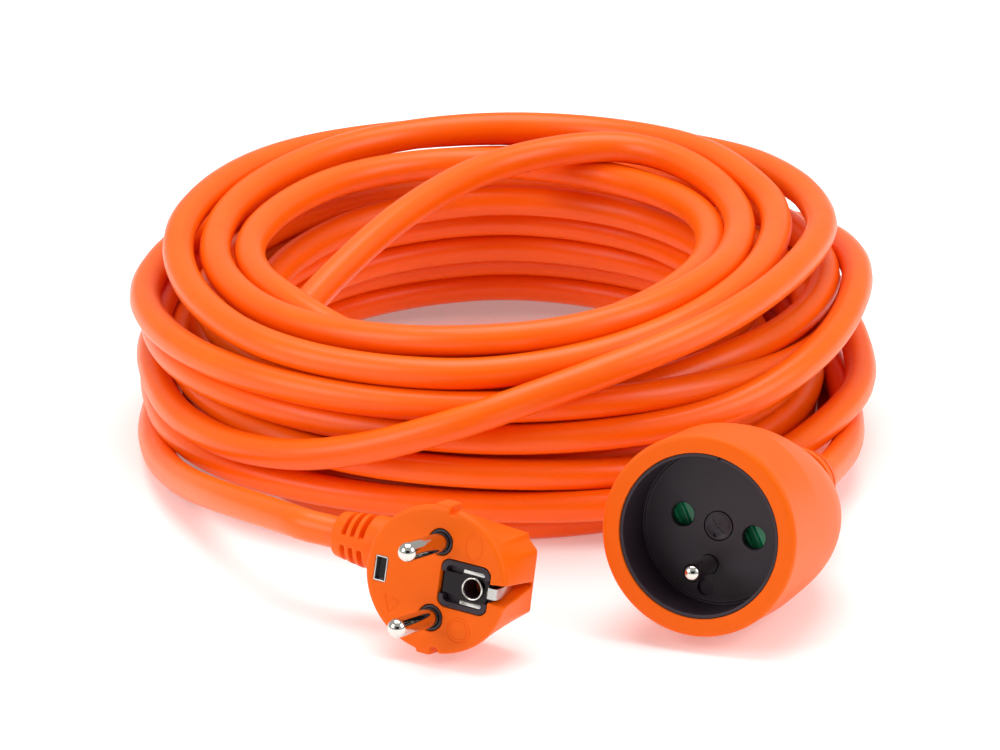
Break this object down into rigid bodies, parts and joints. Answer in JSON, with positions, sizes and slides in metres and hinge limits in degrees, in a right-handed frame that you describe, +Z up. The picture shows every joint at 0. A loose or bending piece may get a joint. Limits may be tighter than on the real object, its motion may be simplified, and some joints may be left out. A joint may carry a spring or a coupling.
{
  "type": "extension cord",
  "caption": "Coiled orange mains extension cord with a moulded right-angle earthed plug and a round portable socket with a sprung safety shutter.",
  "frame": {"origin": "bottom centre of the whole object, on the floor it lies on", "axes": "+Z up; -Y towards the fronts of the plug and the socket, which lie in front of the coil; +X from the plug to the socket"},
  "size_m": [0.188, 0.2859, 0.06],
  "materials": {
    "orange_pvc": "satin moulded soft PVC",
    "cord_jacket": "satin extruded PVC jacket",
    "black_plastic": "satin moulded thermoplastic",
    "nickel": "polished nickel plate on brass",
    "spring_steel": "bright rolled strip",
    "brass": "rolled brass",
    "green_plastic": "moulded thermoplastic",
    "core_brown": "extruded PVC",
    "core_blue": "extruded PVC",
    "core_green_yellow": "extruded PVC, two colours"
  },
  "bodies": {
    "cord_set": {"plug_body": "orange_pvc", "plug_strain_relief": "orange_pvc", "plug_inner_bridge": "black_plastic", "plug_pin_line": "nickel", "plug_pin_neutral": "nickel", "plug_earth_bracket": "spring_steel", "plug_earth_sleeve": "nickel", "plug_crimp_line": "brass", "plug_crimp_neutral": "brass", "plug_crimp_earth": "brass", "plug_core_line": "core_brown", "plug_core_neutral": "core_blue", "plug_core_earth": "core_green_yellow", "socket_body": "orange_pvc", "socket_strain_relief": "orange_pvc", "socket_cup": "black_plastic", "socket_carrier": "black_plastic", "socket_centre_rivet": "black_plastic", "socket_shutter_spring": "spring_steel", "socket_contact_line": "brass", "socket_contact_neutral": "brass", "socket_earth_pin": "nickel", "socket_crimp_line": "brass", "socket_crimp_neutral": "brass", "socket_crimp_earth": "brass", "socket_core_line": "core_brown", "socket_core_neutral": "core_blue", "socket_core_earth": "core_green_yellow", "cord_coil": "cord_jacket", "cord_lead_plug": "cord_jacket", "cord_lead_socket": "cord_jacket"},
    "shutter": {"socket_shutter": "green_plastic"}
  },
  "joints": [
    {"name": "shutter_turn", "type": "hinge", "parent": "cord_set", "child": "shutter", "pos_m": [0.05455, -0.09736, 0.02578], "axis": [-0.3501, -0.9217, 0.1668], "range_deg": [0, 38], "stiffness_Nm_per_rad": 0.02}
  ]
}
